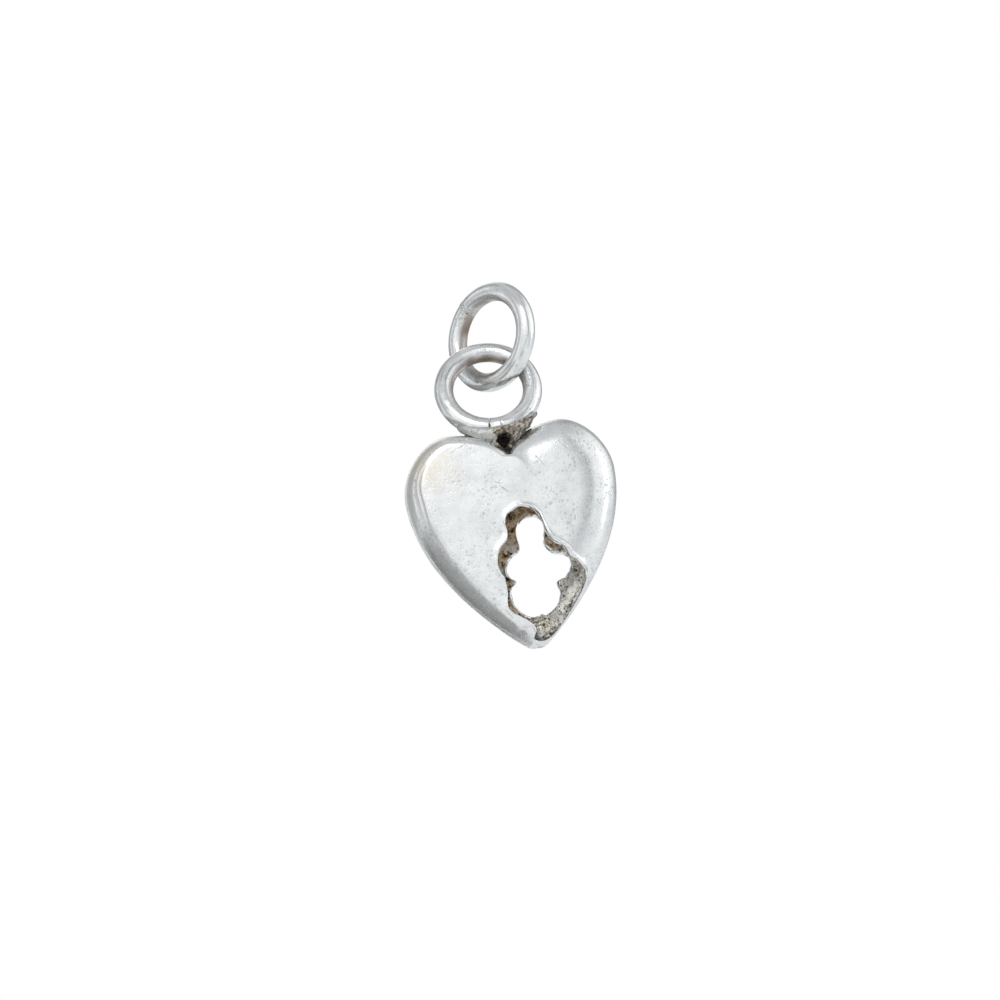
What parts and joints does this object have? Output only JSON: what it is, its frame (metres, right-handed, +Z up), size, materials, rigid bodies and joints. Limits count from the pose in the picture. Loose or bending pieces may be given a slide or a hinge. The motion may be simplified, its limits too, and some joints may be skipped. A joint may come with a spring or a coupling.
{
  "type": "heart charm",
  "caption": "Hollow puffed heart charm with a rough pierced opening, a ring soldered into its notch and a free ring linked through that one.",
  "frame": {"origin": "where a chain or bracelet ring bears, inside the top of the upper ring", "axes": "+Z up along the hanging charm, -Y out of the front face of the heart, +X to the right as seen from the front"},
  "size_m": [0.0129, 0.0058, 0.0229],
  "materials": {
    "silver": "softly worn polish with fine pits",
    "solder": "dull and grainy",
    "tarnished_solder": "dark tarnish"
  },
  "bodies": {
    "upper_link": {"upper_ring": "silver", "upper_ring_solder": "solder"},
    "heart": {"front_shell": "silver", "back_shell": "silver", "seam_solder": "tarnished_solder", "tip_solder": "tarnished_solder", "lower_ring": "silver", "ring_solder": "solder"}
  },
  "joints": [
    {"name": "heart_swing", "type": "hinge", "parent": "upper_link", "child": "heart", "pos_m": [-0.00118, 0.00001, -0.00308], "axis": [1, 0, 0], "range_deg": [-4, 150]}
  ]
}
